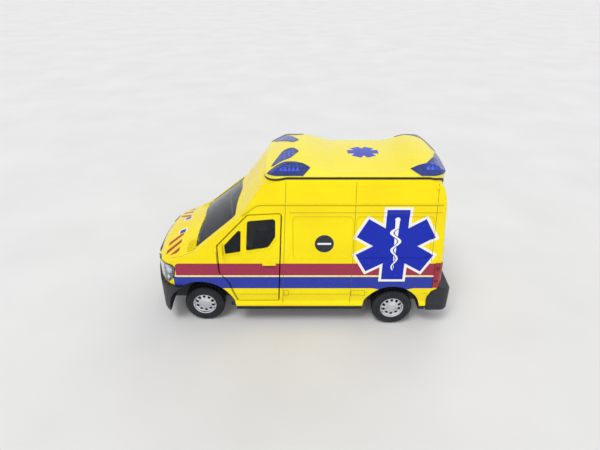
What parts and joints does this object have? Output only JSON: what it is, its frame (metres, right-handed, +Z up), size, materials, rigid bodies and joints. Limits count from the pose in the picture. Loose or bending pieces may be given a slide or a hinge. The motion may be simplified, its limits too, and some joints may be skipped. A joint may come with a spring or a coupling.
{
  "type": "toy ambulance van",
  "caption": "Toy high-roof ambulance van with a die-cast body, plastic base and roof cap, blue roof beacons, hinged cab and rear doors, and wheels on free turning axles.",
  "frame": {"origin": "on the ground under the middle of the van", "axes": "nose along -X, the van's left side along -Y, +Z up"},
  "size_m": [0.1412, 0.0596, 0.0814],
  "materials": {
    "yellow_paint": "gloss enamel on die-cast metal",
    "yellow_plastic": "gloss moulded plastic",
    "black_plastic": "satin moulded plastic",
    "grey_plastic": "satin moulded plastic",
    "tinted_glazing": "smoke tinted clear plastic",
    "clear_lens": "clear plastic",
    "blue_lens": "translucent blue plastic",
    "red_lens": "red plastic",
    "chrome": "vacuum plated plastic",
    "axle_steel": "drawn wire",
    "tyre_rubber": "soft black vinyl"
  },
  "bodies": {
    "van": {"body_shell": "yellow_paint", "roof_cap": "yellow_plastic", "front_bumper": "black_plastic", "rear_bumper": "black_plastic", "base_plate": "black_plastic", "roof_band": "black_plastic", "battery_cover": "black_plastic", "motor_box": "black_plastic", "grille": "black_plastic", "floor_plate": "grey_plastic", "bulkhead": "grey_plastic", "dashboard": "grey_plastic", "console": "grey_plastic", "seat_left": "grey_plastic", "seat_right": "grey_plastic", "steering_wheel": "grey_plastic", "windscreen": "tinted_glazing", "headlamp_left": "clear_lens", "headlamp_right": "clear_lens", "beacons_side": "blue_lens", "beacons_front": "blue_lens", "beacons_rear": "blue_lens", "tail_lamp_left": "red_lens", "tail_lamp_right": "red_lens", "headlamp_bowl_left": "chrome", "headlamp_bowl_right": "chrome"},
    "door_left": {"door_left": "yellow_paint", "door_glass_left": "tinted_glazing"},
    "door_right": {"door_right": "yellow_paint", "door_glass_right": "tinted_glazing"},
    "rear_door_left": {"rear_door_left": "yellow_paint", "rear_door_glass_left": "tinted_glazing"},
    "rear_door_right": {"rear_door_right": "yellow_paint", "rear_door_glass_right": "tinted_glazing"},
    "front_wheels": {"front_axle": "axle_steel", "rim_front_left": "chrome", "rim_front_right": "chrome", "tyre_front_left": "tyre_rubber", "tyre_front_right": "tyre_rubber"},
    "rear_wheels": {"rear_axle": "axle_steel", "rim_rear_left": "chrome", "rim_rear_right": "chrome", "tyre_rear_left": "tyre_rubber", "tyre_rear_right": "tyre_rubber"}
  },
  "joints": [
    {"name": "door_left_hinge", "type": "hinge", "parent": "van", "child": "door_left", "pos_m": [-0.0364, -0.0271, 0.035], "axis": [0, 0, -1], "range_deg": [0, 60]},
    {"name": "door_right_hinge", "type": "hinge", "parent": "van", "child": "door_right", "pos_m": [-0.0364, 0.0271, 0.035], "axis": [0, 0, 1], "range_deg": [0, 60]},
    {"name": "rear_door_left_hinge", "type": "hinge", "parent": "van", "child": "rear_door_left", "pos_m": [0.06405, -0.02245, 0.024], "axis": [0.0718, 0, -0.9974], "range_deg": [0, 90]},
    {"name": "rear_door_right_hinge", "type": "hinge", "parent": "van", "child": "rear_door_right", "pos_m": [0.06405, 0.02245, 0.024], "axis": [-0.0718, 0, 0.9974], "range_deg": [0, 90]},
    {"name": "front_axle_spin", "type": "hinge", "parent": "van", "child": "front_wheels", "pos_m": [-0.0466, 0, 0.0096], "axis": [0, 1, 0], "continuous": true},
    {"name": "rear_axle_spin", "type": "hinge", "parent": "van", "child": "rear_wheels", "pos_m": [0.0437, 0, 0.0096], "axis": [0, 1, 0], "continuous": true}
  ]
}
